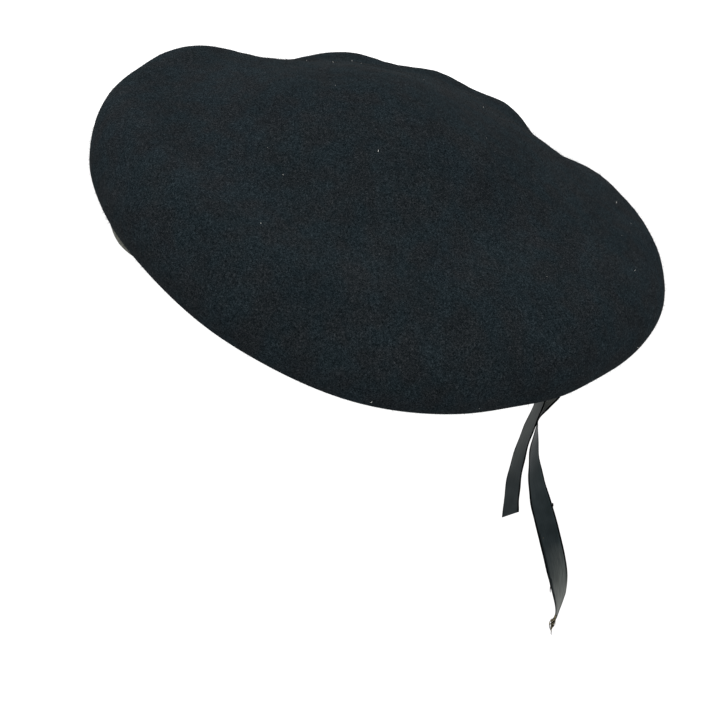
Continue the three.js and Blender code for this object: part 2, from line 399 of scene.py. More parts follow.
# A smooth curve through points, with steps places for each stretch between two of them.
def smoothCurve(points, steps):
    points = np.array(points, float)
    ends = np.vstack([2 * points[0] - points[1], points, 2 * points[-1] - points[-2]])
    made = []
    for i in range(1, len(ends) - 2):
        a, b, c, d = ends[i - 1:i + 3]
        da, db, dc = (math.sqrt(np.linalg.norm(q - p)) for p, q in ((a, b), (b, c), (c, d)))
        startPull = ((b - a) / da - (c - a) / (da + db) + (c - b) / db) * db
        endPull = ((c - b) / db - (d - b) / (db + dc) + (d - c) / dc) * db
        for k in range(steps):
            t = k / steps
            made.append(
                b * (2 * t**3 - 3 * t**2 + 1) + startPull * (t**3 - 2 * t**2 + t)
                + c * (3 * t**2 - 2 * t**3) + endPull * (t**3 - t**2)
            )
    made.append(points[-1])
    return np.array(made)


def softened(values, passes):
    for _ in range(passes):
        middle = (values[:-2] + 2 * values[1:-1] + values[2:]) / 4
        values = np.concatenate([values[:1], middle, values[-1:]])
    return values


# Centre line, direction, width direction and flat direction of a tie.
def ribbonFrames(route):
    steps = ribbon["rowsPerPoint"]
    centre = smoothCurve([place[:3] for place in route], steps)
    knots = np.arange(len(route)) * steps
    turn = np.interp(np.arange(len(centre)), knots, [place[3] for place in route])
    turn = np.radians(softened(turn, steps * 2))
    along = unit(np.gradient(centre, axis=0))
    wide = np.stack([np.sin(turn), np.cos(turn), np.zeros(len(turn))], 1)
    wide = unit(wide - along * (wide * along).sum(1)[:, None])
    return centre, along, wide, np.cross(along, wide)


# Half the ribbon's outline across: place from the middle (-1 to 1) and half the thickness there.
def ribbonColumns():
    edge = 2 * ribbon["selvedge"] / ribbon["width"]
    thin, firm = ribbon["thickness"] / 2, ribbon["selvedgeThickness"] / 2
    side = [(1 - inward * edge, share * firm) for inward, share in ribbon["rounding"]]
    body = 1 - 1.4 * edge  # past here, the satin has its own thickness
    inner = [(place, thin) for place in np.linspace(-body, body, ribbon["columns"])]
    return np.array([(-place, half) for place, half in side] + inner + side[::-1])


# The share of its width that a tie has with a length left to go.
def widthShare(tie, left):
    return 1 + (tie["endShare"] - 1) * max(0, 1 - left / tie["narrowing"])


def ribbonMesh(name, route, tie, rng):
    centre, along, wide, flat = ribbonFrames(route)
    walked = distances(centre)
    total = walked[-1]
    keep = walked <= total - tie["frayed"]
    place, half = ribbonColumns().T
    cupPhase, twistPhase, _ = rng.uniform(0, math.tau, 3)
    rows = []
    for i in np.nonzero(keep)[0]:
        left = total - walked[i]
        across = place * widthShare(tie, left) * ribbon["width"] / 2
        wave = 0.5 + 0.5 * math.sin(walked[i] * ribbon["cupRate"] + cupPhase)
        twist = ribbon["twist"] * place**3 * math.sin(walked[i] * ribbon["twistRate"] + twistPhase)
        lift = ribbon["cup"] * wave * (1 - place**2) + twist
        slant = place * tie["slant"] / 2 * max(0, 1 - left / ribbon["slantReach"])
        points = centre[i] + wide[i] * across[:, None] + flat[i] * lift[:, None]
        points = points - along[i] * slant[:, None]
        top, bottom = points + flat[i] * half[:, None], points - flat[i] * half[:, None]
        rows.append(np.vstack([top, bottom[::-1]]))
    count, ring = len(place), 2 * len(place)
    faces = tubeSides(len(rows), ring)
    last = (len(rows) - 1) * ring
    for j in range(count - 1):
        faces.append((j + 1, j, ring - 1 - j, ring - 2 - j))
        faces.append((last + j, last + j + 1, last + ring - 2 - j, last + ring - 1 - j))
    mesh = meshFrom(name, np.vstack(rows), faces)
    markRibbon(mesh, place, walked[keep], tie)
    return mesh, (centre, along, wide, flat, walked)


# Marks the selvedges' faces, and lays a map in metres and the painted light over a ribbon: a painted
# highlight where the satin is paler, painted shade along a dark margin. The values in down are how far
# along the tie its rows are.
def markRibbon(mesh, place, down, tie):
    ring = 2 * len(place)
    firm = np.abs(place) > 1 - 2.2 * ribbon["selvedge"] / ribbon["width"]  # and a hair inwards
    firm = np.concatenate([firm, firm[::-1]])
    for polygon in mesh.polygons:
        polygon.material_index = int(all(firm[[v % ring for v in polygon.vertices]]))
    uv = mesh.uv_layers.new(name="ribbonMap")
    across = np.concatenate([place, place[::-1]]) * ribbon["width"] / 2
    index = np.zeros(len(mesh.loops), int)
    mesh.loops.foreach_get("vertex_index", index)
    pairs = np.stack([across[index % ring], down[index // ring]], 1)
    uv.data.foreach_set("uv", pairs.ravel())
    downs, levels, tilts = zip(*tie["wearAndPaintedLight"])
    level = np.interp(down, downs, levels)[:, None]
    tilt = np.interp(down, downs, tilts)[:, None]
    rim = np.interp(down, *zip(*tie["rim"]))[:, None]
    # Painted light: above 0 a painted highlight lightens the satin, and -1 past the rim is painted shade.
    worn = np.where(place > rim, -1, level * (1 - tilt * place))
    worn = np.hstack([worn, worn[:, ::-1]])
    mesh.attributes.new("wearAndPaintedLight", "FLOAT", "POINT").data.foreach_set("value", worn.ravel())


# Makes the ribbon's colour another one with the colour of the painted highlight laid over it, by an
# output from 0 to 1.
def layPaintedHighlight(shader, source, output, much, muchOutput):
    paler = addNode(shader.id_data, "ShaderNodeMix", {7: (*ribbon["worn"], 1)}, data_type="RGBA")
    join(much, muchOutput, paler, 0)
    join(source, output, paler, 6)
    join(paler, 2, shader, "Base Color")


def satinMaterial():
    material, tree, shader = startMaterial("satinRibbon", roughness=0.46, specular=0.075)
    setInputs(shader, {
        "Specular Tint": (*ribbon["gloss"], 1), "Sheen Weight": 0.01, "Sheen Roughness": 0.4})
    where = addNode(tree, "ShaderNodeUVMap", uv_map="ribbonMap")
    slant = addNode(tree, "ShaderNodeMapping", {"Rotation": (0, 0, math.radians(ribbon["slope"]))})
    lines = addNode(tree, "ShaderNodeTexWave", {
        "Scale": waveBand / ribbon["weave"], "Distortion": 1.2, "Detail": 1.5, "Detail Scale": 1.6})
    warp = addNode(tree, "ShaderNodeMapping", {"Scale": ribbon["streaks"]})
    streaks = addNode(tree, "ShaderNodeTexNoise", {"Scale": 1.0, "Detail": 3.0})
    patches = addNode(tree, "ShaderNodeTexNoise", {"Scale": 160.0, "Detail": 2.0})
    join(where, "UV", slant, "Vector")
    join(slant, "Vector", lines, "Vector")
    join(where, "UV", warp, "Vector")
    join(warp, "Vector", streaks, "Vector")
    join(where, "UV", patches, "Vector")
    blend = product(streaks, "Fac", patches, "Fac")
    colour = colourRamp(blend, "Value", [(0.12, ribbon["body"]), (0.42, ribbon["shine"])])
    parts = addNode(tree, "ShaderNodeSeparateXYZ")
    outer, inner = ribbon["paintedSheenStripe"]
    # A painted sheen: a paler stripe along one side of the width.
    paintedSheenStripe = addNode(tree, "ShaderNodeMapRange", {
        "From Min": outer * ribbon["width"], "From Max": inner * ribbon["width"],
        "To Min": 1.6, "To Max": 1.0})
    # Painted light from the attribute: painted shade darkens the colour, and a painted highlight is laid
    # over it.
    wearAndPaintedLight = addNode(tree, "ShaderNodeAttribute", attribute_name="wearAndPaintedLight")
    shade = addNode(tree, "ShaderNodeMapRange", {"From Min": -1.0, "From Max": 0.0, "To Min": 0.2})
    lit = addNode(tree, "ShaderNodeVectorMath", operation="SCALE")
    join(where, "UV", parts, "Vector")
    join(parts, "X", paintedSheenStripe, "Value")
    join(wearAndPaintedLight, "Fac", shade, "Value")
    join(colour, "Color", lit, 0)
    join(product(paintedSheenStripe, "Result", shade, "Result"), "Value", lit, "Scale")
    much = product(scaled(streaks, "Fac", 1.6), "Value", wearAndPaintedLight, "Fac", use_clamp=True)
    layPaintedHighlight(shader, lit, "Vector", much, "Value")
    height = scaled(lines, "Fac", 0.6)
    join(streaks, "Fac", height, 2)
    addBump(shader, height, "Value", strength=0.35, distance=0.00006)
    return material


# The firm woven edge: fine ribs across it, darker than the rest except where the painted highlight is
# strong.
def selvedgeMaterial():
    material, tree, shader = startMaterial("ribbonSelvedge", roughness=0.9, specular=0.0)
    where = addNode(tree, "ShaderNodeUVMap", uv_map="ribbonMap")
    ribs = addNode(tree, "ShaderNodeTexWave", {
        "Scale": waveBand / ribbon["weave"], "Distortion": 0.8}, bands_direction="Y")
    join(where, "UV", ribs, "Vector")
    dark, light = ribbon["firm"]
    wearAndPaintedLight = addNode(tree, "ShaderNodeAttribute", attribute_name="wearAndPaintedLight")
    # The painted highlight also pales the edge where it is strong.
    much = addNode(tree, "ShaderNodeMapRange", {"From Min": 0.45, "From Max": 1.0, "To Max": 0.75})
    join(wearAndPaintedLight, "Fac", much, "Value")
    ramp = colourRamp(ribs, "Fac", [(0.2, dark), (0.8, light)])
    layPaintedHighlight(shader, ramp, "Color", much, "Result")
    addBump(shader, ribs, "Fac", strength=0.4, distance=0.00008)
    return material


def frayMaterial():
    material, _, shader = startMaterial("frayedThread", roughness=0.7, specular=0.15)
    addSpeckle(shader, 950.0, 3.0, (0.40, 0.5, 0.64), ribbon["fray"])
    return material


# The loose lengthwise threads at a frayed end: they leave the cut edge side by side, belly out and draw
# together into one wisp.
fray = {
    "count": 30,
    "edge": 0.97,  # where the outermost of them are, as a share of half the width
    "points": 12,
    "rooted": 0.0012,  # how far a thread starts inside the ribbon
    "beyond": 0.0044,  # the longest wisp, past the end of the centre line
    "shortfall": 1.5,  # how much shorter than that the shortest is, as a share of it
    "skew": 0.6,  # under 1, more of them are short than long
    "droop": 0.002,  # past that end, they turn to the flat side over this length
    "turn": 0.25,  # how much they turn
    "gather": 0.9,  # how far they draw together
    "gatherRate": 1.1,
    "swell": 0.0014,  # how far they belly out at most
    "swellRate": 1.2,
    "swellPower": 1.3,
    "curl": 0.00018,
    "curlRate": 11,  # radians over a thread's length
    "radius": 0.00011,
    "darkEvery": 6,  # one thread in so many is dark and thicker
    "lean": -0.0006,  # of the whole bundle, along the flat direction
}


def frayLines(frames, tie, rng):
    centre, along, wide, flat, walked = frames
    total = walked[-1]
    start = np.searchsorted(walked, total - tie["frayed"]) - 1
    left = total - walked[start]
    lines = []
    for place in np.linspace(-fray["edge"], fray["edge"], fray["count"]):
        reach = left + fray["beyond"] * (1 - fray["shortfall"] * rng.uniform(0, 1) ** fray["skew"])
        swell, curl = rng.uniform(-1, 1) * fray["swell"], rng.uniform(0, math.tau)
        line = []
        for k in range(fray["points"]):
            t = k / (fray["points"] - 1)
            gone = t * reach + walked[start]
            i = min(np.searchsorted(walked, gone), len(centre) - 1)
            over = max(0, gone - total)
            onwards = unit(along[i] + fray["turn"] * min(1, over / fray["droop"]) * flat[i])
            apart = 1 - fray["gather"] * min(1, fray["gatherRate"] * t)
            across = place * widthShare(tie, left) * apart * ribbon["width"] / 2
            belly = math.sin(math.pi * min(1, fray["swellRate"] * t)) ** fray["swellPower"]
            waver = fray["curl"] * math.sin(fray["curlRate"] * t + curl) * min(1, 3 * t)
            off = (swell + fray["lean"]) * belly + waver
            line.append(centre[i] + onwards * over + wide[i] * across + flat[i] * off)
        line[0] = line[0] - along[start] * fray["rooted"]
        lines.append(line)
    return lines


# Threads that stand off a selvedge. Each row says how far along the tie one starts, on which side, its
# length, which way it points along the tie and how far it bends out.
loose = {
    "rows": [(0.1095, -1, 0.0022, -1, 0.24), (0.1524, 1, 0.0036, 1, 0.05)],
    "course": [(0, 0), (1, 0.35), (1.2, 0.8), (1.1, 1)],  # off and along: shares of bend and length
    "spread": (0.7, 1, 1.3),  # of the bend, for the strands of one thread
    "root": 0.47,  # of the width, from the middle
    "radius": 0.00018,
}
speck = {"down": 0.1235, "place": 0.57, "length": 0.0007, "off": 0.0005}  # of lint, on the outer face


def looseLines(frames):
    centre, along, wide, _, walked = frames
    lines = []
    for gone, side, length, way, lift in loose["rows"]:
        i = int(np.searchsorted(walked, gone))
        out, drop = wide[i] * side, along[i] * way
        root = centre[i] + out * ribbon["width"] * loose["root"]
        for bend in loose["spread"]:
            reach = bend * lift * length
            lines.append([root + out * off * reach + drop * far * length for off, far in loose["course"]])
    return lines


def speckLine(frames):
    centre, along, wide, flat, walked = frames
    i = int(np.searchsorted(walked, speck["down"]))
    outer = flat[i] * math.copysign(speck["off"], flat[i][0])
    middle = centre[i] + wide[i] * speck["place"] * ribbon["width"] / 2 + outer
    reach = unit(along[i] + 0.6 * wide[i]) * speck["length"]
    return [middle + reach * share for share in (-0.5, -0.17, 0.17, 0.5)]


# Joins a second mesh to a first one, with its material in the slot after the first one's.
def joinMeshes(first, second, material):
    first.materials.append(material)
    both = editable(first)
    old = len(both.faces)
    both.from_mesh(second)
    both.faces.ensure_lookup_table()
    for face in both.faces[old:]:
        face.material_index = len(first.materials) - 1
    writeBack(both, first)
    bpy.data.meshes.remove(second)


def makeTies():
    rng = np.random.default_rng(ribbon["seed"])
    satin, firm, frayed = satinMaterial(), selvedgeMaterial(), frayMaterial()
    for name, node, route, tie in (
        ("tieShort", "tie_short", shortTieRoute, shortTie),
        ("tieLong", "tie_long", longTieRoute, longTie),
    ):
        mesh, frames = ribbonMesh(name, route, tie, rng)
        mesh.materials.append(satin)
        mesh.materials.append(firm)
        if tie["frayed"]:
            lines = frayLines(frames, tie, rng)
            every = fray["darkEvery"]
            pale = [line for k, line in enumerate(lines) if k % every] + [speckLine(frames)]
            joinMeshes(mesh, threadMesh("fray", pale, fray["radius"], frayed), frayed)
            dark = lines[::every] + looseLines(frames)
            joinMeshes(mesh, threadMesh("loose", dark, loose["radius"], firm), firm)
        tieObject = linkObject(name, mesh)
        finishPiece(tieObject)
        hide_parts(node)


makeTies()


# The head opening, which the crown's collar and the binding follow.
opening = {
    "length": 0.204,
    "breadth": 0.160,
    "tilt": 10,  # degrees that it leans back
    "flare": 0.003,  # how much wider the collar is at its top
    "frontFlare": 0.007,
    "frontRise": 0.002,  # how much higher its edge stands over the brow than a level ring
    "collarHeight": 0.016,
}


# Places on the collar: the angle runs from the front through the wearer's left, the height is along the
# collar and the offset outwards from the middle of the felt.
def collarPoints(angle, height, offset):
    front = opening["frontFlare"] * np.cos(angle / 2) ** 4
    slope = (opening["flare"] + front) / opening["collarHeight"]
    reach = slope * height + offset * np.hypot(1, slope)
    across, along = opening["breadth"] / 2 + reach, opening["length"] / 2 + reach
    height = height + opening["frontRise"] * np.cos(angle / 2) ** 8
    tilt = math.radians(opening["tilt"])
    x, y = across * np.sin(angle), -along * np.cos(angle)
    return np.stack([x, y * math.cos(tilt) + height * math.sin(tilt),
                     height * math.cos(tilt) - y * math.sin(tilt)], -1)


# How far points stand above the plane of the opening.
def heightAbove(points):
    tilt = math.radians(opening["tilt"])
    return points[:, 1] * math.sin(tilt) + points[:, 2] * math.cos(tilt)


felt = {
    "subdivisions": 2,
    "unevenness": [  # how far, from one rise to the next, seed, number of waves
        (0.0005, 0.034, 5, 14),
        (0.00012, 0.0052, 8, 30),
    ],
    "fade": 0.02,  # all of that fades out over this distance down to the collar
    "dark": (0.0009, 0.0017, 0.0021),
    "mid": (0.0055, 0.0083, 0.0098),
    "light": (0.0250, 0.0312, 0.0345),
    "tints": ((1.12, 0.985, 0.965), (0.945, 1.015, 1.05)),
    "mix": (0.84, 0.08, 0.08),  # shares of the fibres, the grains and the patches in the mottle
}

# A soft crease in the top, from the dip behind the brow back and towards the wearer's left.
crease = {
    "line": [(-0.030, -0.027, 0.100), (-0.021, -0.023, 0.099), (-0.010, -0.019, 0.098),
             (0, -0.014, 0.097), (0.007, -0.010, 0.096), (0.013, -0.005, 0.095), (0.018, -0.001, 0.094)],
    "depth": 0.0009,
    "width": 0.0026,
}


# Where the slack stands farther out from the middle of the crown than the plain shape, or less far.
swells = {
    "middle": (0.014, 0.012, 0.040),
    "loft": 0.0007,  # of the felt's brushed outside, all over
    "head": (0, 0, 0.01),
    "reach": (0.092, 0.112),  # from the head, the moves under the rim begin this far out, whole this far
    "rows": [  # place, how far it spreads, rise
        ((-0.029, -0.081, 0.103), 0.017, 0.0016),
        ((0.014, -0.108, 0.076), 0.020, 0.0010),
        ((-0.047, -0.051, 0.104), 0.014, -0.0029),
        ((-0.061, -0.008, 0.102), 0.011, -0.0007),
        ((-0.061, 0.013, 0.100), 0.011, 0.0009),
        ((-0.066, 0.087, 0.072), 0.014, 0.0009),
        ((-0.033, 0.104, 0.058), 0.014, -0.0043),
        ((-0.036, 0.124, 0.045), 0.012, 0.0012),
        ((0.004, 0.141, 0.025), 0.015, -0.0010),
        ((0.105, 0.070, -0.030), 0.016, -0.0011),
        ((0.080, 0.107, -0.024), 0.018, -0.0011),
    ],
}


def feltMaterial():
    material, tree, shader = startMaterial("woolFelt", roughness=1.0, specular=0.008)
    setInputs(shader, {
        "Sheen Weight": 0.001, "Sheen Roughness": 0.6, "Sheen Tint": (0.62, 0.68, 0.74, 1)})
    fibres = objectTexture(tree, {"Scale": 1700.0, "Detail": 3.0, "Roughness": 0.7, "Distortion": 1.2})
    grains = objectTexture(tree, {"Scale": 420.0, "Detail": 3.0, "Roughness": 0.6})
    patches = objectTexture(tree, {"Scale": 46.0, "Detail": 3.0, "Roughness": 0.55})
    dyes = objectTexture(tree, {"Scale": 90.0, "Detail": 2.0})
    mixed = zip((fibres, grains, patches), felt["mix"])
    small, medium, large = [scaled(texture, "Fac", share) for texture, share in mixed]
    join(small, "Value", medium, 2)
    join(medium, "Value", large, 2)
    stops = [(0.342, felt["dark"]), (0.5, felt["mid"]), (0.690, felt["light"])]
    warm, cool = felt["tints"]
    tinted = addNode(tree, "ShaderNodeVectorMath", operation="MULTIPLY")
    join(colourRamp(large, "Value", stops), "Color", tinted, 0)
    join(colourRamp(dyes, "Fac", [(0.38, warm), (0.62, cool)]), "Color", tinted, 1)
    join(tinted, "Vector", shader, "Base Color")
    addBump(shader, medium, "Value", strength=0.5, distance=0.00017)
    return material


# A CAD node's mesh as one closed skin of squares.
def skinOf(node):
    skin = editable(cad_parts[node].data)
    bmesh.ops.remove_doubles(skin, verts=skin.verts, dist=2e-6)
    bmesh.ops.join_triangles(
        skin, faces=skin.faces, angle_face_threshold=math.radians(40),
        angle_shape_threshold=math.radians(60), cmp_seam=False, cmp_sharp=False, cmp_uvs=False)
    return writeBack(skin, bpy.data.meshes.new(node))


def subdivided(obj, levels):
    modifier = obj.modifiers.new("smooth", "SUBSURF")
    modifier.levels = modifier.render_levels = levels
    return appliedMesh(obj, modifier)


# Smooth unevenness: a number of waves in turned directions.
def slowWaves(points, waveLength, seed, count):
    rng = np.random.default_rng(seed)
    made = np.zeros_like(points)
    for _ in range(count):
        direction = unit(rng.normal(size=3))
        push = unit(rng.normal(size=3))
        pitch = math.tau / (waveLength * rng.uniform(0.7, 2.2))
        phase = rng.uniform(0, math.tau)
        made += np.sin(points @ direction * pitch + phase)[:, None] * push
    return made / math.sqrt(count)


def meshVectors(mesh, kind):
    vectors = np.zeros(len(mesh.vertices) * 3)
    mesh.vertices.foreach_get(kind, vectors)
    return vectors.reshape(-1, 3)


# How deep the crease is at each point: deepest at its middle, gone at its two ends.
def creaseAt(points):
    line = np.array(smoothCurve(crease["line"], 4))
    depth = np.zeros(len(points))
    for k, place in enumerate(line):
        share = math.sin(math.pi * (k + 1) / (len(line) + 1)) ** 0.6
        near = np.exp(-(np.linalg.norm(points - place, axis=1) / crease["width"]) ** 2)
        depth = np.maximum(depth, share * near)
    return crease["depth"] * depth


# How far the felt moves at each point: by the loft on its outside only, and by the swells on both sides.
def swellAt(points, normals):
    spoke = unit(points - swells["middle"])
    facing = np.clip(3 * (spoke * normals).sum(1), 0, 1)[:, None]
    moved = swells["loft"] * facing * normals
    for place, spread, rise in swells["rows"]:
        near = np.exp(-(np.linalg.norm(points - place, axis=1) / spread) ** 2)
        moved += rise * near[:, None] * unit(np.subtract(place, swells["middle"]))
    return moved


def makeCrown():
    crown = linkObject("crownFelt", skinOf("crown"))
    mesh = subdivided(crown, felt["subdivisions"])
    old, crown.data = crown.data, mesh
    bpy.data.meshes.remove(old)
    points, normals = meshVectors(mesh, "co"), meshVectors(mesh, "normal")
    away = np.clip((heightAbove(points) - opening["collarHeight"]) / felt["fade"], 0, 1)[:, None]
    near, far = swells["reach"]
    fromHead = np.linalg.norm(points - swells["head"], axis=1)
    clear = np.clip((fromHead - near) / (far - near), 0, 1)[:, None]
    swelling = np.maximum(away, clear) * swellAt(points, normals)
    points[:, 2] -= creaseAt(points)
    points += swelling
    for rise, length, seed, count in felt["unevenness"]:
        points += rise * away * slowWaves(points, length, seed, count)
    mesh.vertices.foreach_set("co", points.ravel())
    mesh.update()
    smoothAll(mesh)
    mesh.materials.clear()
    mesh.materials.append(feltMaterial())
    finishPiece(crown)
    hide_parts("crown")
    print(f"crown: {triangleCount(mesh)} triangles")
    return crown


crown = makeCrown()


# The leather folded round the cut edge of the felt, and its stitches.
binding = {
    "inside": 0.00135,  # from the middle of the felt to the leather's inner face
    "outside": 0.0025,
    "height": 0.012,
    "open": 0.0135,  # between its two ends, at the centre of the back
    "fold": 0.0019,  # height where the rounded fold begins
    "rows": (8, 9),  # up the outer face: to below the stitches, and from there to the lip
    "rowGap": 0.0004,  # between those two lots
    "foot": 0.0008,  # how far below the stitches the second lot begins
    "lipFoot": 0.0005,  # how far below the top it ends
    "lip": [("outside", -0.00018, -0.00012), ("inside", 0.00055, 0), ("inside", 0.0001, -0.0002)],
    "innerHeights": (0.0112, 0.0085, 0.005, 0.0016),
    "seat": [(0.0007, 0.00125), (0, 0.0012)],  # offset and height, under the felt's cut edge
    "turns": 17,  # round the fold
    "bulge": 0.00045,  # of the channel along the fold
    "bulgeHeight": 0.0042,
    "bulgeSpread": 0.0026,
    "groove": 0.00035,  # that the stitches pull in
    "grooveSpread": 0.0007,
    "stitchHeight": 0.0094,
    "pucker": 0.00016,
    "puckerSpread": 0.0032,
    "puckerLeast": 0.35,  # what is left of it away from the stitches
    "puckerFrom": 0.0003,  # how far outside the inner face it begins
    "puckerOver": 0.0008,  # how much farther out it is whole
    "puckerPitches": (0.0063, 0.0084, 0.0117, 0.0171),
    "puckerSwell": 0.047,
    "sway": 0.00022,  # of the lower edge, up and down
    "swayPitches": (0.071, 0.113),
    "swayHeight": 0.006,  # where it has faded out
    "swayInside": 0.4,  # how much of it the inner face takes
    "steps": 420,
    "stitchPitch": 0.0031,
    "stitchLength": 0.0023,
    "threadRadius": 0.00021,
    "threadStand": 0.2,  # of that, between the leather's face and the thread's middle
    "leather": ((0.013, 0.0150, 0.0082), (0.024, 0.0275, 0.0155), (0.044, 0.049, 0.030)),
    "thread": ((0.010, 0.011, 0.010), (0.034, 0.037, 0.034)),
    "seed": 21,
}


# How far the leather's outer face stands off at a height, with the channel and the stitch groove.
def bindingReach(height):
    channel = math.exp(-((height - binding["bulgeHeight"]) / binding["bulgeSpread"]) ** 2)
    groove = math.exp(-((height - binding["stitchHeight"]) / binding["grooveSpread"]) ** 2)
    return binding["outside"] + binding["bulge"] * channel - binding["groove"] * groove


# The closed outline of the folded strip: pairs of offset and height, up the outside and down the inside.
# Each row of the lip says which face it is measured from, how far off it, and how far from the top.
def bindingSection():
    top, fold = binding["height"], binding["fold"]
    foot = binding["stitchHeight"] - binding["foot"]
    low = np.linspace(fold, foot - binding["rowGap"], binding["rows"][0])
    high = np.linspace(foot, top - binding["lipFoot"], binding["rows"][1])
    outer = [(bindingReach(height), height) for height in np.concatenate([low, high])]
    lip = [(binding[face] + off, top + rise) for face, off, rise in binding["lip"]]
    inner = [(binding["inside"], height) for height in binding["innerHeights"]]
    right = outer + lip + inner + binding["seat"]
    left = [(-offset, height) for offset, height in right[-2::-1]]
    reach, turns = bindingReach(fold), np.linspace(0, math.pi, binding["turns"])[1:-1]
    under = [(-reach * math.cos(turn), fold * (1 - math.sin(turn))) for turn in turns]
    return np.array(right + left + under)


def makeBinding():
    rng = np.random.default_rng(binding["seed"])
    section = bindingSection()
    half = binding["open"] / opening["breadth"]
    angles = np.linspace(-math.pi + half, math.pi - half, binding["steps"])
    walked = distances(collarPoints(angles, binding["height"] / 2, 0))
    pucker, sway = np.zeros(len(angles)), np.zeros(len(angles))
    for pitch in binding["puckerPitches"]:
        swell = 0.5 + 0.5 * np.sin(walked / binding["puckerSwell"] + rng.uniform(0, math.tau))
        pucker += swell * np.sin(walked * math.tau / pitch + rng.uniform(0, math.tau))
    for pitch in binding["swayPitches"]:
        sway += np.sin(walked * math.tau / pitch + rng.uniform(0, math.tau))
    offset, height = section.T
    outward = np.abs(offset) - binding["inside"] - binding["puckerFrom"]
    outward = np.clip(outward / binding["puckerOver"], 0, 1)
    near = np.exp(-((height - binding["stitchHeight"]) / binding["puckerSpread"]) ** 2)
    near = near + binding["puckerLeast"]
    low = np.clip(1 - height / binding["swayHeight"], 0, 1)
    low = np.where(outward > 0, 1, binding["swayInside"]) * low
    rows = []
    for i, angle in enumerate(angles):
        push = np.sign(offset) * outward * near * binding["pucker"] * pucker[i]
        rows.append(collarPoints(angle, height + binding["sway"] * sway[i] * low, offset + push))
    mesh = meshFrom("binding", np.vstack(rows), closedTube(len(rows), len(section)))
    outwards = editable(mesh)
    bmesh.ops.recalc_face_normals(outwards, faces=outwards.faces)
    writeBack(outwards, mesh)
    mesh.materials.append(leatherMaterial())
    strip = linkObject("binding", mesh)
    finishPiece(strip)
    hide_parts("headband")
    makeStitches(angles, pucker)
    print(f"binding: {1000 * walked[-1]:.0f} mm round")


def leatherMaterial():
    material, tree, shader = startMaterial("boundLeather", roughness=0.55, specular=0.08)
    pebbles = objectTexture(
        tree, {"Scale": 1500.0, "Randomness": 1.0}, "ShaderNodeTexVoronoi", feature="SMOOTH_F1")
    creases = objectTexture(tree, {"Scale": 900.0, "Detail": 5.0, "Roughness": 0.62, "Distortion": 0.8})
    wearAndPaintedLight = objectTexture(tree, {"Scale": 160.0, "Detail": 4.0, "Roughness": 0.65})
    mixed = scaled(creases, "Fac", 0.45)
    join(scaled(wearAndPaintedLight, "Fac", 0.55), "Value", mixed, 2)
    dark, mid, light = binding["leather"]
    ramp = colourRamp(mixed, "Value", [(0.34, dark), (0.5, mid), (0.70, light)])
    join(ramp, "Color", shader, "Base Color")
    rough = addNode(tree, "ShaderNodeMapRange", {"To Min": 0.38, "To Max": 0.66})
    join(wearAndPaintedLight, "Fac", rough, "Value")
    join(rough, "Result", shader, "Roughness")
    grain = scaled(pebbles, "Distance", 0.5)
    join(creases, "Fac", grain, 2)
    addBump(shader, grain, "Value", strength=0.5, distance=0.00012)
    return material


# Stitches of one length along a line, each laid along it.
def stitchTree():
    tree, start, end = geometryTree("stitches", [("Pitch", "Float"), ("Stitch", "Object")])
    curve = addNode(tree, "GeometryNodeMeshToCurve")
    places = addNode(tree, "GeometryNodeCurveToPoints", mode="LENGTH")
    stitch = addNode(tree, "GeometryNodeObjectInfo")
    put = addNode(tree, "GeometryNodeInstanceOnPoints")
    join(start, "Geometry", curve, "Mesh")
    join(curve, "Curve", places, "Curve")
    join(start, "Pitch", places, "Length")
    join(start, "Stitch", stitch, "Object")
    join(places, "Points", put, "Points")
    join(places, "Rotation", put, "Rotation")
    join(stitch, "Geometry", put, "Instance")
    endTree(start, end, put, "Instances")
    return tree


# A closed tube along +Z. Each row is a ring: its height, its radius and how far it is off the middle.
def barMesh(name, rows, sides):
    points = []
    for height, radius, off in rows:
        for turn in [math.tau * j / sides for j in range(sides)]:
            points.append((radius * math.cos(turn) + off, radius * math.sin(turn), height))
    return meshFrom(name, points, closedTube(len(rows), sides))


# One stitch: a round thread that dips in at its two ends.
def stitchMesh():
    half, radius = binding["stitchLength"] / 2, binding["threadRadius"]
    shape = [(-1, 0.45), (-0.8, 0.95), (0, 1.05), (0.8, 0.95), (1, 0.45)]
    return barMesh("stitch", [(half * place, radius * share, 0) for place, share in shape], sides=6)


def makeStitches(angles, pucker):
    material, _, shader = startMaterial("stitchThread", roughness=0.6, specular=0.3)
    addSpeckle(shader, 2600.0, 2.0, (0.36, 0.64), binding["thread"])
    stitch = linkObject("stitch", stitchMesh())
    reach = bindingReach(binding["stitchHeight"]) + binding["threadStand"] * binding["threadRadius"]
    offsets = reach + (1 + binding["puckerLeast"]) * binding["pucker"] * pucker
    lines = [collarPoints(angles, binding["stitchHeight"], side * offsets) for side in (1, -1)]
    values = {"Pitch": binding["stitchPitch"], "Stitch": stitch, "Material": material}
    made = runTree("bindingStitches", lineMesh("stitchLines", lines), stitchTree(), values)
    print(f"stitches: {len(made.vertices) // len(stitch.data.vertices)}")
    bpy.data.objects.remove(stitch)
    finishPiece(linkObject("bindingStitches", made))


makeBinding()


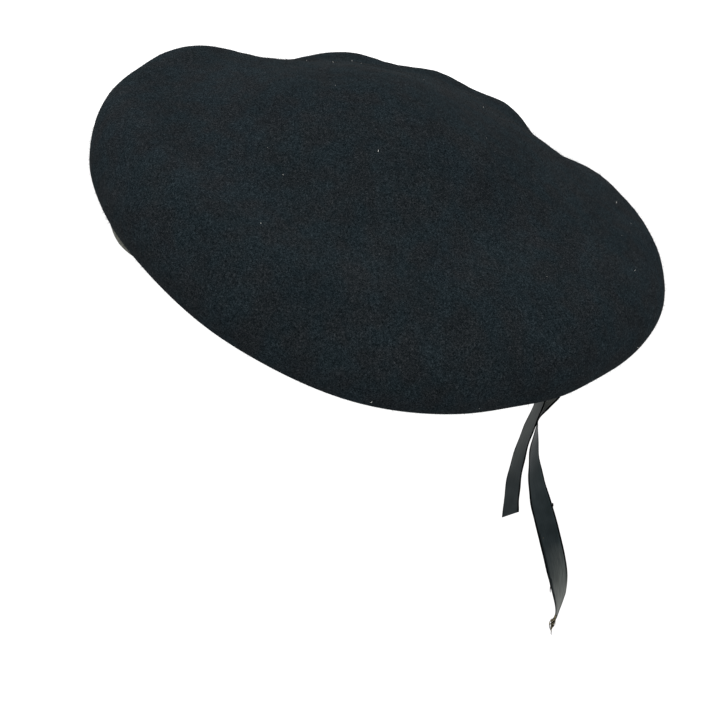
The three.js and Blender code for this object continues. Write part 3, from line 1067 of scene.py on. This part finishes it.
# Short fibres that stand off the outside of the felt, and a little pale lint caught in them.
nap = {
    "density": 315000.0,  # fibres in each square metre
    "length": 0.0017,
    "radius": 0.00003,
    "rooted": 0.08,  # share of a fibre that is inside the felt
    "lean": 1.15,  # how far they stray from straight out
    "spread": (0.5, 1.3),  # the shortest and the longest, as shares of the length
    "seed": 3,
    "clearance": 0.0004,  # how far off a face the search for what hides it starts
    "roughness": 0.9,
    "colours": ((0.0008, 0.0012, 0.0014), (0.0060, 0.0080, 0.0090)),
}
lint = {
    "density": 560.0,
    "length": 0.0008,
    "radius": 0.00007,
    "lean": 3.0,
    "spread": (0.5, 1.6),
    "seed": 6,
    "roughness": 0.8,
    "colours": ((0.20, 0.20, 0.19), (0.60, 0.60, 0.57)),
}


def napTree():
    sockets = [
        ("Density", "Float"), ("Lean", "Float"), ("Shortest", "Float"), ("Longest", "Float"),
        ("Seed", "Int"), ("Fibre", "Object"),
    ]
    tree, start, end = geometryTree("nap", sockets)
    scatter = addNode(tree, "GeometryNodeDistributePointsOnFaces", distribute_method="RANDOM")
    fibre = addNode(tree, "GeometryNodeObjectInfo")
    ends = {0: (-1, -1, -1), 1: (1, 1, 1)}
    spread = addNode(tree, "FunctionNodeRandomValue", ends, data_type="FLOAT_VECTOR")
    lean = addNode(tree, "ShaderNodeVectorMath", operation="SCALE")
    total = addNode(tree, "ShaderNodeVectorMath", operation="ADD")
    turn = addNode(tree, "FunctionNodeAlignRotationToVector", axis="Z")
    size = addNode(tree, "FunctionNodeRandomValue", data_type="FLOAT")
    place = addNode(tree, "GeometryNodeInstanceOnPoints")
    join(start, "Geometry", scatter, "Mesh")
    join(start, "Density", scatter, "Density")
    for node in (scatter, spread, size):
        join(start, "Seed", node, "Seed")
    join(start, "Fibre", fibre, "Object")
    join(spread, 0, lean, 0)
    join(start, "Lean", lean, "Scale")
    join(lean, "Vector", total, 0)
    join(scatter, "Normal", total, 1)
    join(total, "Vector", turn, "Vector")
    join(start, "Shortest", size, 2)
    join(start, "Longest", size, 3)
    join(scatter, "Points", place, "Points")
    join(fibre, "Geometry", place, "Instance")
    join(turn, "Rotation", place, "Rotation")
    join(size, 1, place, "Scale")
    endTree(start, end, place, "Instances")
    return tree


# One straight fibre along +Z, three sided, pointed, its foot inside the felt.
def fibreMesh():
    radius, foot, tip = nap["radius"], -nap["rooted"] * nap["length"], (1 - nap["rooted"]) * nap["length"]
    turns = [math.tau * j / 3 for j in range(3)]
    points = [(radius * math.cos(turn), radius * math.sin(turn), foot) for turn in turns] + [(0, 0, tip)]
    return meshFrom("fibre", points, [(2, 1, 0), (0, 1, 3), (1, 2, 3), (2, 0, 3)])


# One curled scrap of lint, thickest in its middle.
def lintMesh():
    rows = []
    for t in np.linspace(0, 1, 6):
        share = 0.35 + 0.65 * math.sin(math.pi * t)
        curl = 0.28 * lint["length"] * math.sin(math.pi * t * 1.4)
        rows.append((lint["length"] * (0.75 * t - 0.1), lint["radius"] * share, curl))
    return barMesh("lint", rows, sides=4)


# The felt's open faces: those from which nothing of the crown stands in the way.
def openFaces(mesh):
    corners = [tuple(point) for point in meshVectors(mesh, "co")]
    around = BVHTree.FromPolygons(corners, [tuple(face.vertices) for face in mesh.polygons])
    shown, hidden = editable(mesh), []
    for face in shown.faces:
        start = face.calc_center_median() + nap["clearance"] * face.normal
        if around.ray_cast(start, face.normal)[0] is not None:
            hidden.append(face)
    bmesh.ops.delete(shown, geom=hidden, context="FACES")
    return writeBack(shown, bpy.data.meshes.new("openFaces"))


def scatterOn(mesh, name, fibres, shape):
    material, _, shader = startMaterial(name + "Fibre", fibres["roughness"], specular=0.1)
    addSpeckle(shader, 380.0, 2.0, (0.38, 0.62), fibres["colours"])
    fibre = linkObject("fibre", shape)
    shortest, longest = fibres["spread"]
    values = {
        "Density": fibres["density"], "Lean": fibres["lean"], "Shortest": shortest, "Longest": longest,
        "Seed": fibres["seed"], "Fibre": fibre, "Material": material,
    }
    made = runTree(name, mesh, napTree(), values)
    bpy.data.objects.remove(fibre)
    finishPiece(linkObject(name, made))
    print(f"{name}: {triangleCount(made)} triangles")


def makeNap():
    outside = openFaces(crown.data)
    scatterOn(outside, "crownNap", nap, fibreMesh())
    scatterOn(outside, "crownLint", lint, lintMesh())
    bpy.data.meshes.remove(outside)


makeNap()


studio = {
    "floorDepth": -0.5,
    "floorSize": 14.0,
    "floorColour": (0.50, 0.50, 0.50),
    "horizon": 1.6,  # brightness of the surroundings low down
    "zenith": 2.65,  # and overhead
    "low": (0.80, 1.0),  # how much of that there is before the head and behind it, low down
    "high": (1.24, 0.64),  # and overhead
    "lamps": {
        "key": {"place": (1.1, -0.35, 1.2), "size": 1.5, "power": 4.0},
        "fill": {"place": (0.35, 0.8, -0.42), "size": 0.5, "power": 1.6},
    },
}


def addFloor():
    depth, half = studio["floorDepth"], studio["floorSize"] / 2
    corners = [(-half, -half, depth), (half, -half, depth), (half, half, depth), (-half, half, depth)]
    floor = linkObject("floor", meshFrom("floor", corners, [(0, 1, 2, 3)]))
    material, _, shader = startMaterial("paleFloor", roughness=0.9, specular=0.2)
    setInputs(shader, {"Base Color": (*studio["floorColour"], 1)})
    floor.data.materials.append(material)


# The surroundings: brighter overhead, and not the same in front as behind.
def addSurroundings():
    world = bpy.data.worlds.new("studio")
    world.use_nodes = True
    tree = world.node_tree
    where = addNode(tree, "ShaderNodeTexCoord")
    parts = addNode(tree, "ShaderNodeSeparateXYZ")
    rise = addNode(tree, "ShaderNodeMapRange", {
        "From Min": 0.15, "To Min": studio["horizon"], "To Max": studio["zenith"]})
    above = addNode(tree, "ShaderNodeMapRange", {"From Max": 0.6})
    across = addNode(tree, "ShaderNodeMix", data_type="FLOAT")
    for entry, (front, back) in ((2, studio["low"]), (3, studio["high"])):
        limits = {"From Min": -1.0, "To Min": front, "To Max": back}
        side = addNode(tree, "ShaderNodeMapRange", limits)
        join(parts, "Y", side, "Value")
        join(side, "Result", across, entry)
    join(where, "Generated", parts, "Vector")
    join(parts, "Z", rise, "Value")
    join(parts, "Z", above, "Value")
    join(above, "Result", across, 0)
    background = tree.nodes["Background"]
    setInputs(background, {"Color": (1, 1, 1, 1)})
    join(product(rise, "Result", across, 0), "Value", background, "Strength")
    bpy.context.scene.world = world


def addLamps():
    lo, hi = cadBounds
    for name, lamp in studio["lamps"].items():
        data = bpy.data.lights.new(name, "AREA")
        data.shape, data.size, data.energy = "DISK", lamp["size"], lamp["power"]
        light = linkObject(name, data)
        light.location = lamp["place"]
        toMiddle = (lo + hi) / 2 - Vector(lamp["place"])
        light.rotation_euler = toMiddle.to_track_quat("-Z", "Y").to_euler()


addFloor()
addSurroundings()
addLamps()
bpy.context.scene.view_settings.view_transform = "Standard"
bpy.context.scene.view_settings.look = "None"
print("studio lit")
